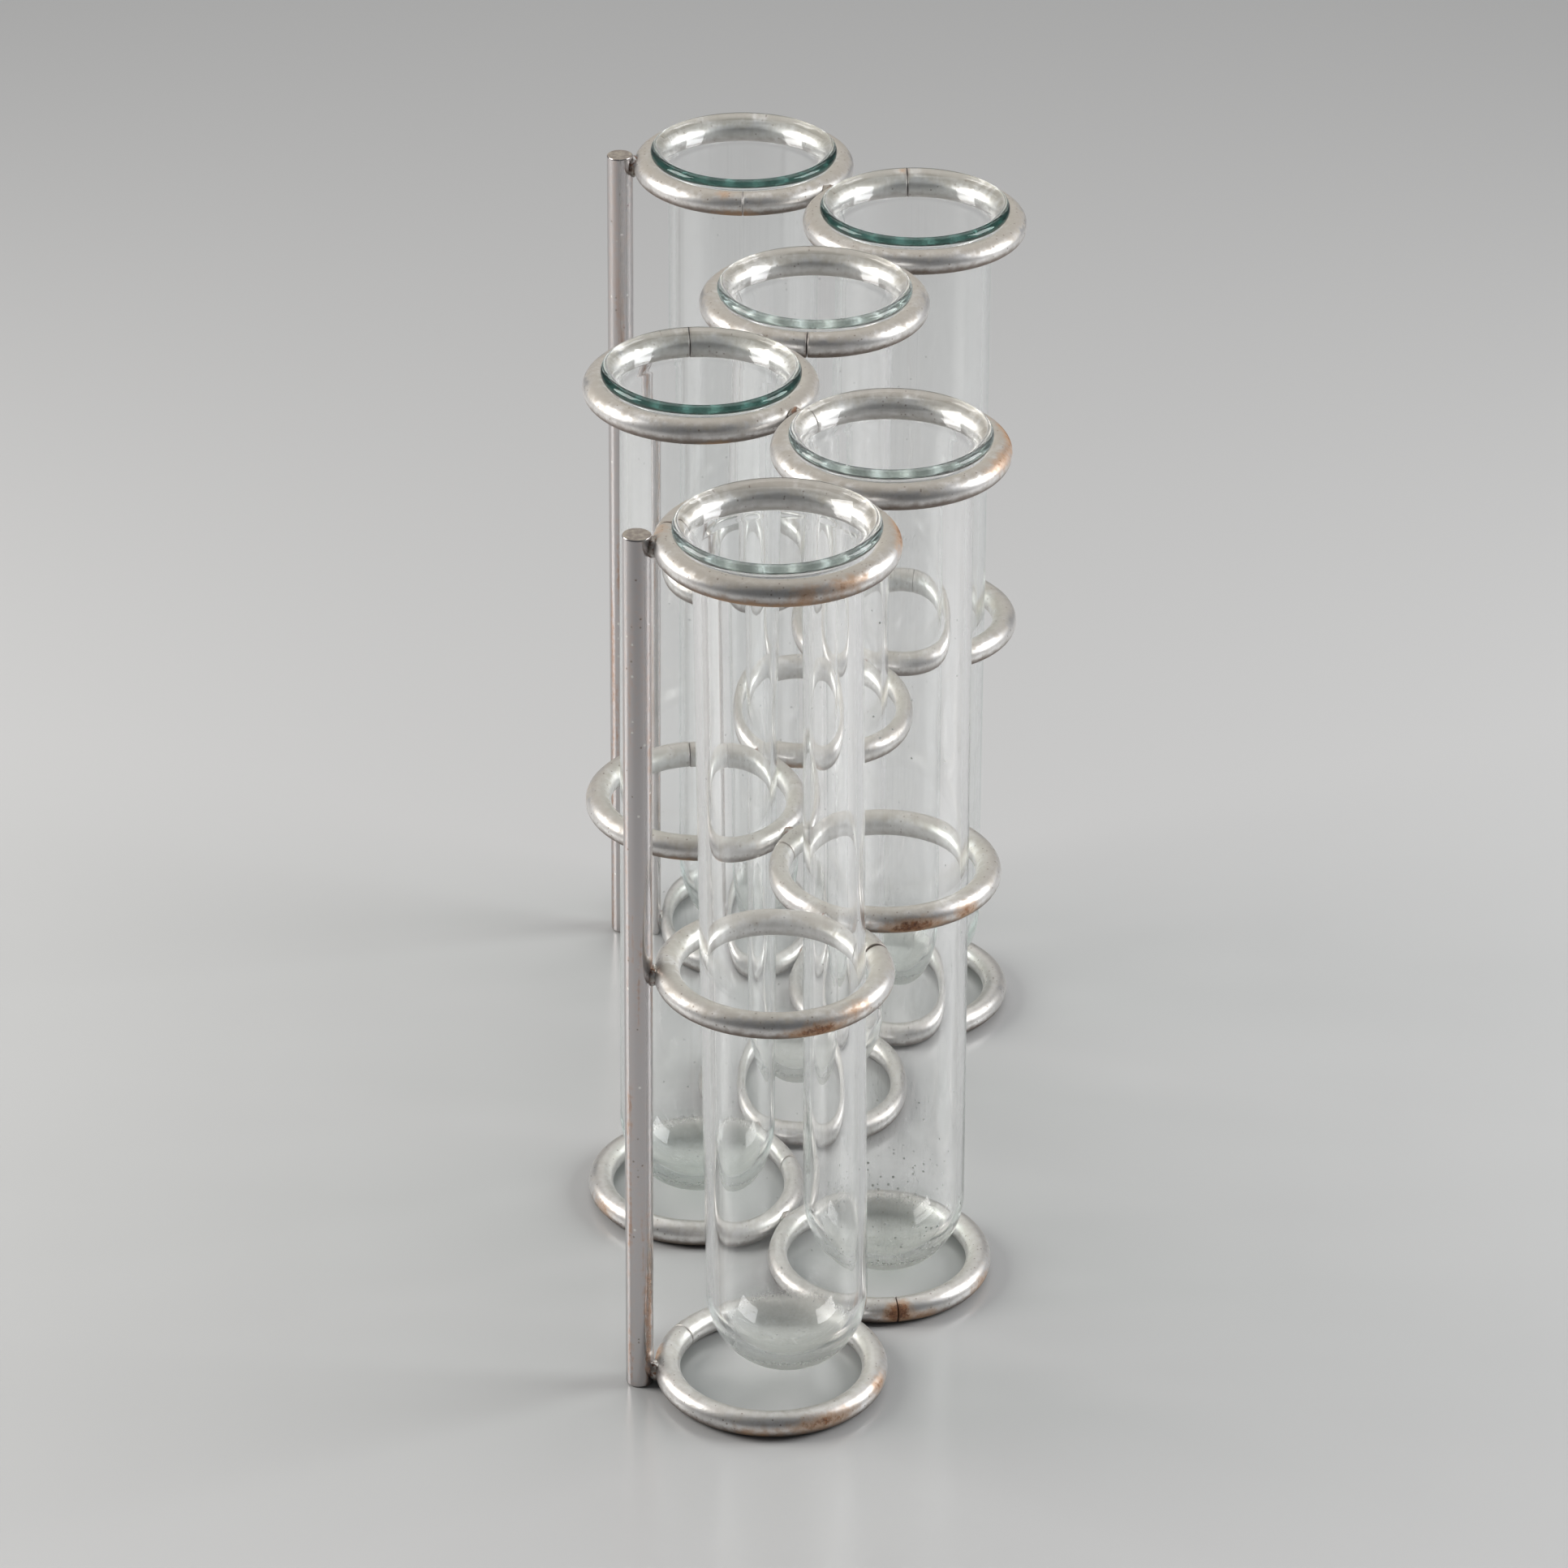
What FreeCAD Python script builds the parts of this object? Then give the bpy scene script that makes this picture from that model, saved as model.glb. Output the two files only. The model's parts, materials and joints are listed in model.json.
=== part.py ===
"""Wire rack that carries six flared test tubes.

Three levels of six wire rings zigzag across the table. The rings of a level are welded to each
other side by side, and a rod at each end of the row carries the three levels. Each glass tube
hangs by its flared lip in a top ring and passes through the middle ring into the bottom one.

Frame: millimetres, +Z up, origin on the table under the middle of the rack's outline,
+Y along the row from tube 6 at the front to tube 1 at the back, +X to the right.
"""
import FreeCAD, Part
import math
import os

import Sketcher

# ------------------------------------------------------------------ driving dimensions
DIMENSIONS = {
    # rack
    "wire_dia": 4.1,            # wire of every ring
    "ring_dia": 37.0,           # outside of a ring
    "rod_dia": 4.4,             # end rods
    "rod_length": 148.8,
    "rod_chamfer": 0.25,        # dressed edge of a cut rod end
    "middle_level": 73.9,       # height of the wire's centre above the table
    "top_level": 146.6,
    "joint_gap": 0.1,           # space that the weld fills between two touching members
    "seam_gap": 0.16,           # butt joint of a ring's two wire ends
    "weld_dia": 2.9,            # nugget of weld metal in the corner between two members
    # tube
    "tube_dia": 25.4,
    "tube_length": 147.0,
    "glass_wall": 1.2,
    "glass_bottom": 2.0,
    "lip_thickness": 1.8,       # bead that fire polishing leaves at the mouth
    "flare_radius": 3.6,        # outside of the flare
    "flare_sweep": 70.0,        # degrees that the wall turns outwards
    "seat_gap": 0.15,           # least space between a lip and the wire under it
    # how much longer than tube_length each blown tube came out
    "extra_1": 0.4,
    "extra_2": -1.2,
    "extra_3": -1.1,
    "extra_4": 0.9,
    "extra_5": 1.8,
    "extra_6": -0.3,
    # directions in plan from each ring to the next one, degrees from +X
    "step_1": -40.1,
    "step_2": -116.4,
    "step_3": -118.4,
    "step_4": -37.9,
    "step_5": -117.5,
    # directions in plan from an end ring to its rod
    "back_rod_side": 182.0,
    "front_rod_side": 184.0,
    # lean of each hanging tube, degrees: its round end swings towards +X
    "lean_1": 0.1,
    "lean_2": 0.3,
    "lean_3": -0.1,
    "lean_4": -0.2,
    "lean_5": 0.5,
    "lean_6": 1.05,
}

LEVELS = ("bottom", "middle", "top")
TUBES = range(1, 7)

# where the butt joint of each ring faces, degrees in plan, for rings 1 to 6
SEAM_SIDES = {
    "bottom": (60, 140, 200, 20, -80, 150),
    "middle": (35, 75, 250, 98, 160, 18),
    "top": (-90, 94, -94, 98, 145, 170),
}

Z_AXIS = FreeCAD.Vector(0, 0, 1)
Y_AXIS = FreeCAD.Vector(0, 1, 0)
ORIGIN = FreeCAD.Vector(0, 0, 0)

doc = FreeCAD.newDocument("TestTubeRack")
parts = []


# ------------------------------------------------------------------ spreadsheet
def make_sheet():
    """Put every driving dimension in a cell that has its name."""
    sheet = doc.addObject("Spreadsheet::Sheet", "Dimensions")
    for row, (name, value) in enumerate(DIMENSIONS.items(), start=1):
        sheet.set(f"A{row}", name)
        sheet.set(f"B{row}", str(value))
        sheet.setAlias(f"B{row}", name)
    doc.recompute()
    return sheet


sheet = make_sheet()


def size(name):
    """Value of a driving dimension as the sheet holds it."""
    return float(sheet.get(name))


def bind(item, prop, expression):
    """Bind a property to an expression in which $ stands for the sheet."""
    item.setExpression(prop, expression.replace("$", "Dimensions."))


# ------------------------------------------------------------------ sketch helpers
def origin_feature(body, role):
    for feature in body.Origin.OriginFeatures:
        if feature.Role == role:
            return feature
    raise RuntimeError(f"{body.Label} has no {role}")


def new_body(label):
    body = doc.addObject("PartDesign::Body", label)
    body.Label = label
    parts.append(body)
    return body


def new_sketch(body, role):
    """Sketch on one of the body's own origin planes."""
    sketch = body.newObject("Sketcher::SketchObject", f"{body.Label}_profile")
    sketch.AttachmentSupport = [(origin_feature(body, role), "")]
    sketch.MapMode = "FlatFace"
    return sketch


def dimension(sketch, constraint, name, expression):
    """Add a dimension to a sketch and bind it to the sheet."""
    index = sketch.addConstraint(constraint)
    sketch.renameConstraint(index, name)
    bind(sketch, f"Constraints.{name}", expression)


def revolve(body, sketch, angle):
    """Turn a sketch on the XZ plane about the body's Z axis; the angle is an expression."""
    solid = body.newObject("PartDesign::Revolution", f"{body.Label}_turned")
    solid.Profile = sketch
    solid.ReferenceAxis = (sketch, ["V_Axis"])
    bind(solid, "Angle", angle)
    return solid


# ------------------------------------------------------------------ plan of the rack
def in_plan(distance, degrees):
    turn = math.radians(degrees)
    return FreeCAD.Vector(distance * math.cos(turn), distance * math.sin(turn), 0)


def plan_layout():
    """Ring centres 1 to 6 and the two rods, with the outline centred on the origin."""
    pitch = size("ring_dia") + size("joint_gap")
    centres = [ORIGIN]
    for step in range(1, 6):
        centres.append(centres[-1] + in_plan(pitch, size(f"step_{step}")))

    reach = (size("ring_dia") + size("rod_dia")) / 2 + size("joint_gap")
    rods = {
        "back_rod": centres[0] + in_plan(reach, size("back_rod_side")),
        "front_rod": centres[-1] + in_plan(reach, size("front_rod_side")),
    }

    circles = [(centre, size("ring_dia") / 2) for centre in centres]
    circles += [(rod, size("rod_dia") / 2) for rod in rods.values()]
    middle = FreeCAD.Vector(
        (min(c.x - r for c, r in circles) + max(c.x + r for c, r in circles)) / 2,
        (min(c.y - r for c, r in circles) + max(c.y + r for c, r in circles)) / 2,
        0,
    )
    centres = [centre - middle for centre in centres]
    rods = {name: rod - middle for name, rod in rods.items()}
    return centres, rods


def level_height(level):
    """Height of the wire's centre; the bottom rings lie on the table."""
    if level == "bottom":
        return size("wire_dia") / 2
    return size(f"{level}_level")


ring_centres, rod_places = plan_layout()
ring_radius = (size("ring_dia") - size("wire_dia")) / 2


# ------------------------------------------------------------------ rings
def make_ring(level, number):
    """Wire bent round into a ring whose two ends meet at an open butt joint."""
    body = new_body(f"{level}_ring_{number}")
    sketch = new_sketch(body, "XZ_Plane")
    wire = Part.Circle(FreeCAD.Vector(ring_radius, 0, 0), Z_AXIS, size("wire_dia") / 2)
    circle = sketch.addGeometry(wire)
    sketch.addConstraint(Sketcher.Constraint("PointOnObject", circle, 3, -1))
    dimension(sketch, Sketcher.Constraint("Diameter", circle, size("wire_dia")),
              "wire", "$wire_dia")
    dimension(sketch, Sketcher.Constraint("DistanceX", -1, 1, circle, 3, ring_radius),
              "bend", "($ring_dia - $wire_dia) / 2")
    revolve(body, sketch, "360 deg - 360 deg / pi * $seam_gap / ($ring_dia - $wire_dia)")

    seam_angle = math.degrees(size("seam_gap") / ring_radius)
    facing = SEAM_SIDES[level][number - 1] + seam_angle / 2
    place = ring_centres[number - 1] + Z_AXIS * level_height(level)
    body.Placement = FreeCAD.Placement(place, FreeCAD.Rotation(Z_AXIS, facing))
    return body


# ------------------------------------------------------------------ rods
def make_rod(label, place):
    """Straight rod that stands on the table, with dressed ends."""
    body = new_body(label)
    sketch = new_sketch(body, "XY_Plane")
    circle = sketch.addGeometry(Part.Circle(ORIGIN, Z_AXIS, size("rod_dia") / 2))
    sketch.addConstraint(Sketcher.Constraint("Coincident", circle, 3, -1, 1))
    dimension(sketch, Sketcher.Constraint("Diameter", circle, size("rod_dia")),
              "rod", "$rod_dia")
    pad = body.newObject("PartDesign::Pad", f"{label}_bar")
    pad.Profile = sketch
    bind(pad, "Length", "$rod_length")
    doc.recompute()

    ends = [f"Edge{n}" for n, edge in enumerate(pad.Shape.Edges, start=1)
            if isinstance(edge.Curve, Part.Circle)]
    chamfer = body.newObject("PartDesign::Chamfer", f"{label}_ends")
    chamfer.Base = (pad, ends)
    bind(chamfer, "Size", "$rod_chamfer")
    body.Placement = FreeCAD.Placement(place, FreeCAD.Rotation())
    return body


# ------------------------------------------------------------------ welds
def weld_blank(name, place, facing):
    """Ball on a joint, its poles inside the members, which take their own shape out of it."""
    blank = doc.addObject("Part::Sphere", name)
    bind(blank, "Radius", "$weld_dia / 2")
    across = FreeCAD.Rotation(Z_AXIS, facing) * FreeCAD.Rotation(Y_AXIS, 90)
    blank.Placement = FreeCAD.Placement(place, across)
    return blank


def weld_group(label, blanks, members):
    """One node that holds the separate nuggets left between the members."""
    nuggets = doc.addObject("Part::Compound", f"{label}_blanks")
    nuggets.Links = blanks
    joined = doc.addObject("Part::Compound", f"{label}_members")
    joined.Links = members
    group = doc.addObject("Part::Cut", label)
    group.Base = nuggets
    group.Tool = joined
    group.Label = label
    parts.append(group)
    return group


def joint_facing(start, end):
    return math.degrees(math.atan2(end.y - start.y, end.x - start.x))


def make_ring_welds(level, rings):
    """Nuggets between the neighbours of one level."""
    height = Z_AXIS * level_height(level)
    blanks = []
    for number, (start, end) in enumerate(zip(ring_centres, ring_centres[1:]), start=1):
        name = f"{level}_joint_{number}"
        blanks.append(weld_blank(name, (start + end) / 2 + height, joint_facing(start, end)))
    return weld_group(f"{level}_ring_welds", blanks, rings)


def make_rod_welds(rods, rings):
    """Nuggets that hold each end ring of each level to its rod."""
    side = (size("ring_dia") + size("joint_gap")) / 2
    blanks = []
    for rod, centre in (("back_rod", ring_centres[0]), ("front_rod", ring_centres[-1])):
        facing = size(f"{rod}_side")
        for level in LEVELS:
            place = centre + in_plan(side, facing) + Z_AXIS * level_height(level)
            blanks.append(weld_blank(f"{rod}_{level}_joint", place, facing))
    return weld_group("rod_welds", blanks, rods + rings)


# ------------------------------------------------------------------ tubes
LIP_RISE = "(($flare_radius + $lip_thickness / 2) * sin($flare_sweep) + $lip_thickness / 2)"


def tube_length(number):
    return size("tube_length") + size(f"extra_{number}")


def tube_profile(sketch, number):
    """Half section of a tube, standing on its round end with the axis on the sketch's V axis."""
    outer = size("tube_dia") / 2
    wall = size("glass_wall")
    bore = outer - wall
    flare = size("flare_radius")
    sweep = math.radians(size("flare_sweep"))
    bead = size("lip_thickness") / 2
    lip_rise = (flare + bead) * math.sin(sweep) + bead
    flare_start = tube_length(number) - lip_rise
    inner_centre = size("glass_bottom") + bore
    flare_centre = FreeCAD.Vector(outer + flare, flare_start, 0)
    lip_direction = FreeCAD.Vector(-math.cos(sweep), math.sin(sweep), 0)
    lip_centre = flare_centre + lip_direction * (flare + bead)
    across = lip_centre.x - bore
    up = lip_centre.y - flare_start
    over_radius = (across ** 2 + up ** 2 - bead ** 2) / (2 * (across - bead))
    over_centre = FreeCAD.Vector(bore + over_radius, flare_start, 0)
    crest = math.atan2(up, lip_centre.x - over_centre.x)

    def arc(centre, radius, start, end):
        circle = Part.Circle(centre, Z_AXIS, radius)
        return sketch.addGeometry(Part.ArcOfCircle(circle, start, end))

    def line(start, end):
        return sketch.addGeometry(Part.LineSegment(FreeCAD.Vector(*start), FreeCAD.Vector(*end)))

    quarter = math.pi / 2
    round_end = arc(FreeCAD.Vector(0, outer, 0), outer, -quarter, 0)
    outside = line((outer, outer, 0), (outer, flare_start, 0))
    under_flare = arc(flare_centre, flare, math.pi - sweep, math.pi)
    lip = arc(lip_centre, bead, -sweep, crest)
    over_flare = arc(over_centre, over_radius, crest, math.pi)
    inside = line((bore, flare_start, 0), (bore, inner_centre, 0))
    round_inside = arc(FreeCAD.Vector(0, inner_centre, 0), bore, -quarter, 0)
    axis = line((0, size("glass_bottom"), 0), (0, 0, 0))

    start, end, centre = 1, 2, 3
    v_axis = -2
    smooth = [
        (round_end, end, outside, start),
        (outside, end, under_flare, end),
        (under_flare, start, lip, start),
        (lip, end, over_flare, start),
        (over_flare, end, inside, start),
        (inside, end, round_inside, end),
    ]
    for joint in smooth:
        sketch.addConstraint(Sketcher.Constraint("Tangent", *joint))
    corners = [
        (round_inside, start, axis, start),
        (axis, end, round_end, start),
        (axis, end, -1, 1),
    ]
    for joint in corners:
        sketch.addConstraint(Sketcher.Constraint("Coincident", *joint))
    for point in ((round_end, centre), (round_inside, centre), (round_inside, start)):
        sketch.addConstraint(Sketcher.Constraint("PointOnObject", *point, v_axis))
    sketch.addConstraint(Sketcher.Constraint("Horizontal", under_flare, centre,
                                             over_flare, centre))
    sketch.addConstraint(Sketcher.Constraint("Vertical", outside))
    sketch.addConstraint(Sketcher.Constraint("Vertical", inside))

    dimension(sketch, Sketcher.Constraint("Radius", round_end, outer),
              "outside", "$tube_dia / 2")
    dimension(sketch, Sketcher.Constraint("Radius", round_inside, bore),
              "bore", "$tube_dia / 2 - $glass_wall")
    dimension(sketch, Sketcher.Constraint("DistanceY", -1, 1, round_inside, start,
                                          size("glass_bottom")),
              "bottom", "$glass_bottom")
    dimension(sketch, Sketcher.Constraint("Radius", under_flare, flare),
              "flare", "$flare_radius")
    dimension(sketch, Sketcher.Constraint("Radius", lip, bead),
              "bead", "$lip_thickness / 2")
    dimension(sketch, Sketcher.Constraint("DistanceY", -1, 1, under_flare, centre, flare_start),
              "flare_start", f"$tube_length + $extra_{number} - {LIP_RISE}")
    dimension(sketch, Sketcher.Constraint("Angle", under_flare, sweep),
              "sweep", "$flare_sweep * 1 deg")


def seat_height(number, lean):
    """How high the ring plane is over a tube's round end when its lip rests on the ring."""
    bead = size("lip_thickness") / 2
    reach = size("flare_radius") + bead
    sweep = math.radians(size("flare_sweep"))
    lip_radius = size("tube_dia") / 2 + size("flare_radius") - reach * math.cos(sweep)
    contact = size("wire_dia") / 2 + bead + size("seat_gap")
    lip_over_ring = math.sqrt(contact ** 2 - (ring_radius - lip_radius) ** 2)
    tilt_room = lip_radius * abs(math.sin(math.radians(lean)))
    lip_centre_height = tube_length(number) - bead
    return lip_centre_height - lip_over_ring - tilt_room


def make_tube(number):
    """Blown tube with a round end and a flared lip, leaning a little as it hangs."""
    body = new_body(f"test_tube_{number}")
    sketch = new_sketch(body, "XZ_Plane")
    tube_profile(sketch, number)
    revolve(body, sketch, "360 deg")

    lean = size(f"lean_{number}")
    pivot = ring_centres[number - 1] + Z_AXIS * level_height("top")
    hang = FreeCAD.Placement(pivot, FreeCAD.Rotation(Y_AXIS, -lean))
    drop = Z_AXIS * -seat_height(number, lean)
    body.Placement = hang * FreeCAD.Placement(drop, FreeCAD.Rotation())
    return body


# ------------------------------------------------------------------ build and check
def build():
    rings = {level: [make_ring(level, number) for number in TUBES] for level in LEVELS}
    rods = [make_rod(label, place) for label, place in rod_places.items()]
    doc.recompute()
    for level in LEVELS:
        make_ring_welds(level, rings[level])
    end_rings = [rings[level][index] for level in LEVELS for index in (0, -1)]
    make_rod_welds(rods, end_rings)
    for number in TUBES:
        make_tube(number)
    doc.recompute()


def check():
    """Stop if anything in the document failed to build."""
    for item in doc.Objects:
        if "Invalid" in item.State or "Error" in item.State:
            raise RuntimeError(f"{item.Label}: {item.State}")
    for part in parts:
        if part.Shape.isNull() or not part.Shape.isValid():
            raise RuntimeError(f"{part.Label} has no valid shape")


def export():
    os.makedirs("parts", exist_ok=True)
    for part in parts:
        part.Shape.exportStep(f"parts/{part.Label}.step")
        box = part.Shape.BoundBox
        print(f"{part.Label:20s} solids {len(part.Shape.Solids)} volume {part.Shape.Volume:9.1f}"
              f"  x {box.XMin:7.2f} {box.XMax:7.2f}  y {box.YMin:7.2f} {box.YMax:7.2f}"
              f"  z {box.ZMin:7.2f} {box.ZMax:7.2f}")


build()
check()
export()
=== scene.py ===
"""Looks of the wire test tube rack: painted bent rings, plated rods, weld beads and blown glass.

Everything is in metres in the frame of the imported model. Places and overall sizes come from the
frame; what it doesn't list, such as the glass's wall, burrs and draw lines, is named below.
"""

import json
import math
import random

import bpy
from mathutils import Matrix, Vector, noise


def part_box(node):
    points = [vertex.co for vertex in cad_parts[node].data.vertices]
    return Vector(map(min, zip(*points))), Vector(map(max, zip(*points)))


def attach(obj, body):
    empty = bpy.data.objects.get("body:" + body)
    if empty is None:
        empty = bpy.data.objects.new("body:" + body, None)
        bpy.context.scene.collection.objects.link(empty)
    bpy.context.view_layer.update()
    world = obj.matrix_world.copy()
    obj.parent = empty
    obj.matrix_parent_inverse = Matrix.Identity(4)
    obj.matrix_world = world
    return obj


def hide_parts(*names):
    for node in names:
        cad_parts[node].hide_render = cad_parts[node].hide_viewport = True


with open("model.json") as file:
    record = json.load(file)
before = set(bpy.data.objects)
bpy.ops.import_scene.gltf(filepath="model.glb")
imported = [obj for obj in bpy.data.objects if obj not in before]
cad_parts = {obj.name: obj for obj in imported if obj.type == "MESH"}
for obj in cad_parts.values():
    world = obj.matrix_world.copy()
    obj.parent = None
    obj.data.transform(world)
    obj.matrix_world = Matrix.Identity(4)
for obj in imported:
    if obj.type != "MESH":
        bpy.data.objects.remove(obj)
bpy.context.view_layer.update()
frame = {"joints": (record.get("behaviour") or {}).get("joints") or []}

MM = 0.001
FULL_TURN = 2 * math.pi
UP = Vector((0, 0, 1))
LEVELS = ("bottom", "middle", "top")
TUBES = range(1, 7)

# ------------------------------------------------------------------ camera
LENS = 144.87                       # millimetres
SENSOR_WIDTH = 36                   # millimetres
LOOK_DOWN = math.radians(28.04)
ROLL = math.radians(0.486)
CAMERA_TARGET = Vector((-0.00367, -0.01372, 0.0750))
CAMERA_DISTANCE = 1.0172
CLIP_START = 0.01

# ------------------------------------------------------------------ floor and light
FLOOR_HALF = 3.0                    # half of the floor's width, metres
FLOOR_COLOUR = (0.65, 0.647, 0.64, 1)
FLOOR_ROUGHNESS = 0.22
SIDE_BOX = (0.54, 0.04, 0.34)       # place of the right lamp; the left one mirrors it
SIDE_BOX_SIZE = (0.32, 0.38)
TOP_BOX = (0.0, 0.55, 1.1)
TOP_BOX_AIM = (0, 0.25, 0)
TOP_BOX_SIZE = (1.3, 1.3)
RACK_MIDDLE = (0, 0, 0.09)
LEFT_POWER = 2.7                    # watts
RIGHT_POWER = 2.5
TOP_POWER = 6.2
LEFT_WHITE = (1.0, 0.985, 0.965)
RIGHT_WHITE = (0.985, 0.99, 1.0)
PLAIN_WHITE = (1, 1, 1)
ROOM_COLOUR = (0.75, 0.77, 0.80, 1)
ROOM_STRENGTH = 0.12

# ------------------------------------------------------------------ rings
RING_SECTIONS = 288                 # mesh sections along a ring
WIRE_SIDES = 40                     # mesh points round the wire
SEAM_GAP = 0.12 * MM
CLOSED_SEAM_GAP = 0.05 * MM         # ends that meet under the paint
WIRE_WANDER = 0.03 * MM             # how far a bent wire strays from a true circle
WANDER_SIZE = 0.9                   # length of a stray, as a share of the ring's radius
WANDER_RISE = 0.5                   # how much of it goes up or down
RISE_SEED = 40                      # keeps up and down from following in and out
WIRE_DENT = 0.012 * MM
DENTS_ALONG = 90                    # how closely the dents sit, per metre and round the wire
DENTS_ROUND = 0.35
WIRE_ALLOWANCE = 0.006 * MM         # keeps the dents inside the wire's own size
BURR = 0.14 * MM                    # rounding of a cropped wire end
# section of a cropped end: how far along the burr, and the share of the wire's radius there
WIRE_END = ((0.0, 0.55), (0.0, 0.86), (0.15, 0.94), (0.5, 0.985), (1.0, 1.0))
STEP_REACH = 4 * MM                 # length over which an end that stands up bends back
STEP_TUCK = 0.3                     # share of its rise by which it is also pushed in
SEAM_STAIN = 0.14 * MM              # how far the dirt of a joint reaches
SEAM_DIRT = 0.60                    # how dark that dirt is
CLOSED_SEAM_DIRT = 0.22

# where each ring's butt joint faces, degrees in plan, for rings 1 to 6
SEAM_SIDES = {
    "bottom": (60, 140, 200, 20, -80, 150),
    "middle": (35, 75, 250, 98, 160, 18),
    "top": (-90, 94, -94, 98, 145, 170),
}
# the (level, ring) of joints whose ends meet
CLOSED_SEAMS = (("bottom", 6), ("bottom", 3), ("top", 1), ("top", 5))
# joints whose ends are out of line: how far one end stands above the other, in millimetres
SEAM_STEPS = {("middle", 6): 0.22, ("top", 4): 0.06, ("middle", 4): 0.10, ("top", 3): 0.05}

# rust on the rings: (level, ring, direction in plan, side of the wire, length, strength).
# A side of 0 faces out, 90 up and -90 down; lengths are in millimetres along the wire.
RUST = (
    ("top", 5, 14, 30, 5.5, 0.75),
    ("top", 5, -22, 40, 5.0, 0.55),
    ("top", 6, 6, 25, 5.5, 0.72),
    ("top", 6, -56, 25, 4.5, 0.50),
    ("top", 6, -78, 15, 2.0, 0.42),
    ("top", 6, -100, -60, 12.0, 0.55),
    ("top", 6, 178, 60, 2.5, 0.34),
    ("top", 4, -82, -62, 3.0, 0.55),
    ("top", 2, 97, 62, 1.3, 1.00),
    ("top", 1, -92, -48, 4.0, 0.48),
    ("top", 1, -100, 70, 1.6, 0.40),
    ("middle", 5, -76, -12, 4.5, 0.88),
    ("middle", 5, -46, 0, 2.2, 0.66),
    ("middle", 6, -69, -14, 4.0, 0.80),
    ("middle", 6, -45, 30, 3.0, 0.42),
    ("middle", 6, -15, -45, 4.0, 0.50),
    ("middle", 3, -97, -50, 4.5, 0.65),
    ("middle", 4, -100, -65, 4.0, 0.48),
    ("bottom", 6, -62, 12, 6.0, 0.64),
    ("bottom", 6, -98, -20, 3.5, 0.36),
    ("bottom", 6, -20, 30, 3.0, 0.55),
    ("bottom", 6, 175, 30, 2.5, 0.60),
    ("bottom", 5, -79, 45, 1.6, 0.55),
    ("bottom", 5, -81, 0, 2.4, 0.80),
    ("bottom", 5, -64, -20, 2.6, 0.42),
    ("bottom", 5, -25, -5, 4.0, 0.50),
    ("bottom", 2, -130, 20, 3.5, 0.52),
    ("bottom", 4, -150, 10, 3.5, 0.46),
)
RUST_SPREAD = 42                    # degrees round the wire that a patch reaches
# how far each level's paint is dulled on top
PATINA_SHARE = {"bottom": 0.40, "middle": 0.70, "top": 0.85}

# ------------------------------------------------------------------ rods and welds
ROD_SIDES = 64
ROD_SECTIONS = 120
ROD_CHAMFER = 0.22 * MM
ROD_DENT = 0.010 * MM
ROD_DENT_SIZE = 3 * MM
ROD_NICK = 0.05 * MM                # how uneven the cropped face is
ROD_NICK_SIZE = 0.8                 # share of its radius over which it varies
ROD_DISH = 0.17 * MM                # how deep the cutter left the middle of that face
# section of a cropped end: how far below the tip, and the share of the rod's radius there
ROD_END = ((0.16 * MM, 0.35), (0.13 * MM, 0.65), (0.08 * MM, 0.86), (0.06 * MM, 0.93),
           (0.14 * MM, 0.975), (0.30 * MM, 1.0))
HANDLED_TOP = 0.135                 # the plating is worn to copper below this height,
HANDLED_FULLY = 0.100               # and fully so below this one
WELD_RADIUS = 1.45 * MM
WELD_BANDS = 14
WELD_SIDES = 22
WELD_ACROSS = 0.72                  # a bead's half sizes as shares of WELD_RADIUS
WELD_ALONG = 1.18
WELD_UP = 1.12
WELD_TIP = 1.1
WELD_LUMP = 0.22                    # height of its big and small lumps, likewise
WELD_PIMPLE = 0.10
WELD_LUMP_SIZE = 0.55               # and how wide they are
WELD_PIMPLE_SIZE = 0.2

# ------------------------------------------------------------------ tubes
TUBE_RADIUS = 12.7 * MM
WALL = 1.2 * MM
BOTTOM_THICKNESS = 2.0 * MM
LIP_THICKNESS = 1.8 * MM
FLARE_RADIUS = 3.6 * MM             # outer bend from the wall to the lip
FLARE_SWEEP = math.radians(70)      # and how far it turns
DRAW_LINE_DEPTH = 0.018 * MM        # ripple that drawing the glass leaves in the bore
DRAW_LINE_TWIST = 2                 # radians per metre that a ripple turns
TUBE_SIDES = 240
WALL_ROWS = 48
END_ROWS = 28
FLARE_ROWS = 18
LIP_ROWS = 14
POLE_GAP = 0.04                     # radians between the tip of a round end and its first row
RIPPLE_START = 4                    # the ripple is at full depth after a quarter of the wall
FROST = 0.62                        # how cloudy the thick round end is
FROST_HEIGHT = 6.5 * MM
LOW_DIRT = 0.6                      # extra dirt on the round end
LOW_DIRT_HEIGHT = 9 * MM
GREEN_TUBES = (1, 2, 4)             # the others are of a clearer melt
# how dusty each tube is
DUST = {1: 0.25, 2: 0.30, 3: 0.30, 4: 0.35, 5: 0.85, 6: 0.35}


# ------------------------------------------------------------------ mesh helpers
def mesh_object(name, points, faces):
    """Smooth-shaded object with its origin at the frame's origin."""
    mesh = bpy.data.meshes.new(name)
    mesh.from_pydata(points, [], faces)
    mesh.validate()
    mesh.shade_smooth()
    mesh.update()
    made = bpy.data.objects.new(name, mesh)
    bpy.context.scene.collection.objects.link(made)
    return made


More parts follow.
